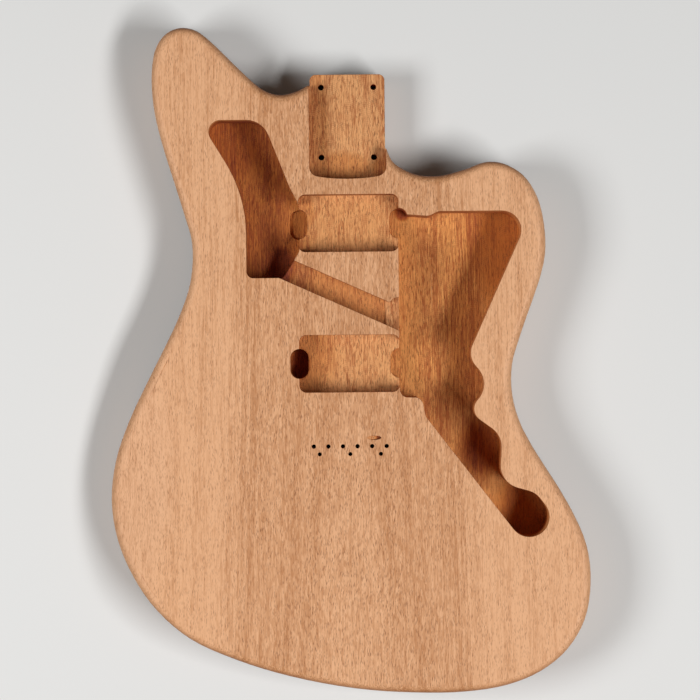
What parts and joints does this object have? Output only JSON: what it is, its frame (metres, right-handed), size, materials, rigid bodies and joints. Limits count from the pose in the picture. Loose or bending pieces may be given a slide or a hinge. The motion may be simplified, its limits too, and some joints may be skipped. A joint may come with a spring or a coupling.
{
  "type": "electric guitar body",
  "caption": "Bare offset solid body for an electric guitar, bookmatched mahogany, with neck pocket, pickup routes, control cavities and contours.",
  "frame": {"origin": "on the flat back face, on the body's centreline, below the heel end of the neck pocket", "axes": "+X towards the treble side, +Y towards the neck, +Z out of the front face; the body lies on its back"},
  "size_m": [0.3464, 0.482, 0.0444],
  "materials": {
    "bare_mahogany": "sanded, unfinished",
    "cured_wood_glue": "cured film, sanded flush"
  },
  "bodies": {
    "root": {"bass_side_board": "bare_mahogany", "centre_glue_line": "cured_wood_glue", "treble_side_board": "bare_mahogany"}
  },
  "joints": []
}
